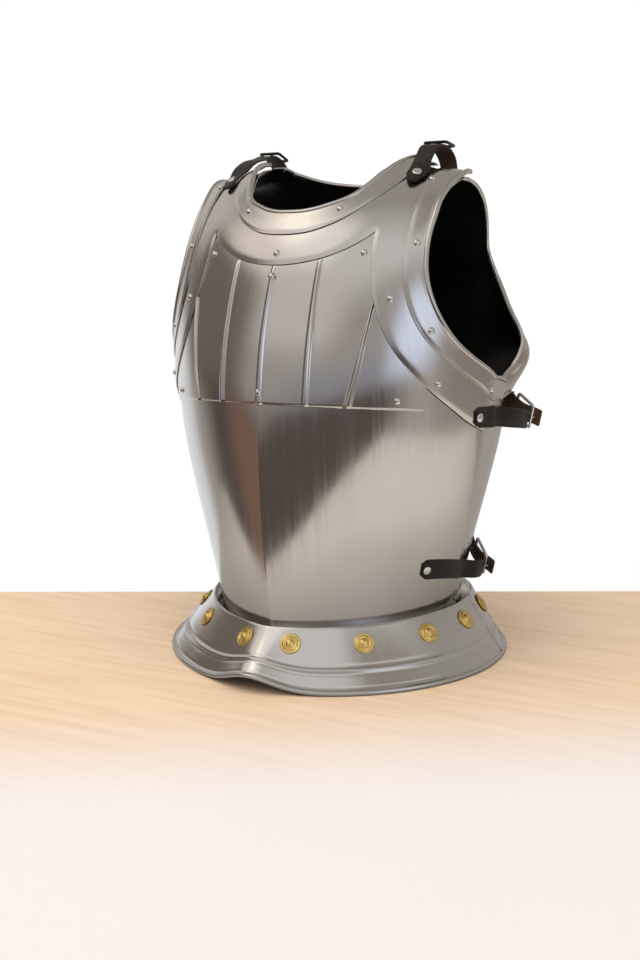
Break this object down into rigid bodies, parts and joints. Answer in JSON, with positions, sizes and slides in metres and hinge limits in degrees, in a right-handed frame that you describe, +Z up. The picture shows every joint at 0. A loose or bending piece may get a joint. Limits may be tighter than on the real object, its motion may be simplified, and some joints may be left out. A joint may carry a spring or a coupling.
{
  "type": "steel cuirass",
  "caption": "Fluted steel breastplate and plain backplate over a flared waist skirt with brass rosettes, joined by leather straps and buckles.",
  "frame": {"origin": "bottom centre of the bounding box, on the surface the skirt stands on", "axes": "+Z up, the chest faces -Y, the wearer's left is +X"},
  "size_m": [0.4168, 0.3436, 0.5348],
  "materials": {
    "plate_steel": "satin polished, fine vertical brushing",
    "skirt_steel": "bright polished",
    "rivet_steel": "domed, polished",
    "brass": "polished, slightly worn",
    "leather": "dark, smooth, satin",
    "chrome": "plated, bright",
    "black_paint": "glossy black inner face"
  },
  "bodies": {
    "root": {"breastplate": "plate_steel", "chest_plate": "plate_steel", "yoke": "plate_steel", "neck_band": "plate_steel", "arm_band_left": "plate_steel", "arm_band_right": "plate_steel", "backplate": "plate_steel", "skirt_front": "skirt_steel", "skirt_back": "skirt_steel", "rosette_01": "brass", "rosette_02": "brass", "rosette_03": "brass", "rosette_04": "brass", "rosette_05": "brass", "rosette_06": "brass", "rosette_07": "brass", "rosette_08": "brass", "rosette_09": "brass", "rosette_10": "brass", "rosette_11": "brass", "rosette_12": "brass", "rosette_13": "brass", "rosette_14": "brass", "neck_rivet_left": "rivet_steel", "neck_rivet_right": "rivet_steel", "yoke_rivet": "rivet_steel", "ridge_rivet_upper": "rivet_steel", "ridge_rivet_lower": "rivet_steel", "chest_rivet_upper_left": "rivet_steel", "chest_rivet_upper_right": "rivet_steel", "chest_rivet_lower_left": "rivet_steel", "chest_rivet_lower_right": "rivet_steel", "yoke_rivet_upper_left": "rivet_steel", "yoke_rivet_upper_right": "rivet_steel", "yoke_rivet_lower_left": "rivet_steel", "yoke_rivet_lower_right": "rivet_steel", "arm_rivet_1_left": "rivet_steel", "arm_rivet_1_right": "rivet_steel", "arm_rivet_2_left": "rivet_steel", "arm_rivet_2_right": "rivet_steel", "arm_rivet_3_left": "rivet_steel", "arm_rivet_3_right": "rivet_steel", "arm_rivet_4_left": "rivet_steel", "arm_rivet_4_right": "rivet_steel", "front_strap_upper_left": "leather", "back_strap_upper_left": "leather", "buckle_upper_left": "chrome", "front_strap_lower_left": "leather", "back_strap_lower_left": "leather", "buckle_lower_left": "chrome", "front_strap_upper_right": "leather", "back_strap_upper_right": "leather", "buckle_upper_right": "chrome", "front_strap_lower_right": "leather", "back_strap_lower_right": "leather", "buckle_lower_right": "chrome", "shoulder_strap_left": "leather", "shoulder_buckle_left": "black_paint", "shoulder_strap_right": "leather", "shoulder_buckle_right": "black_paint"}
  },
  "joints": []
}
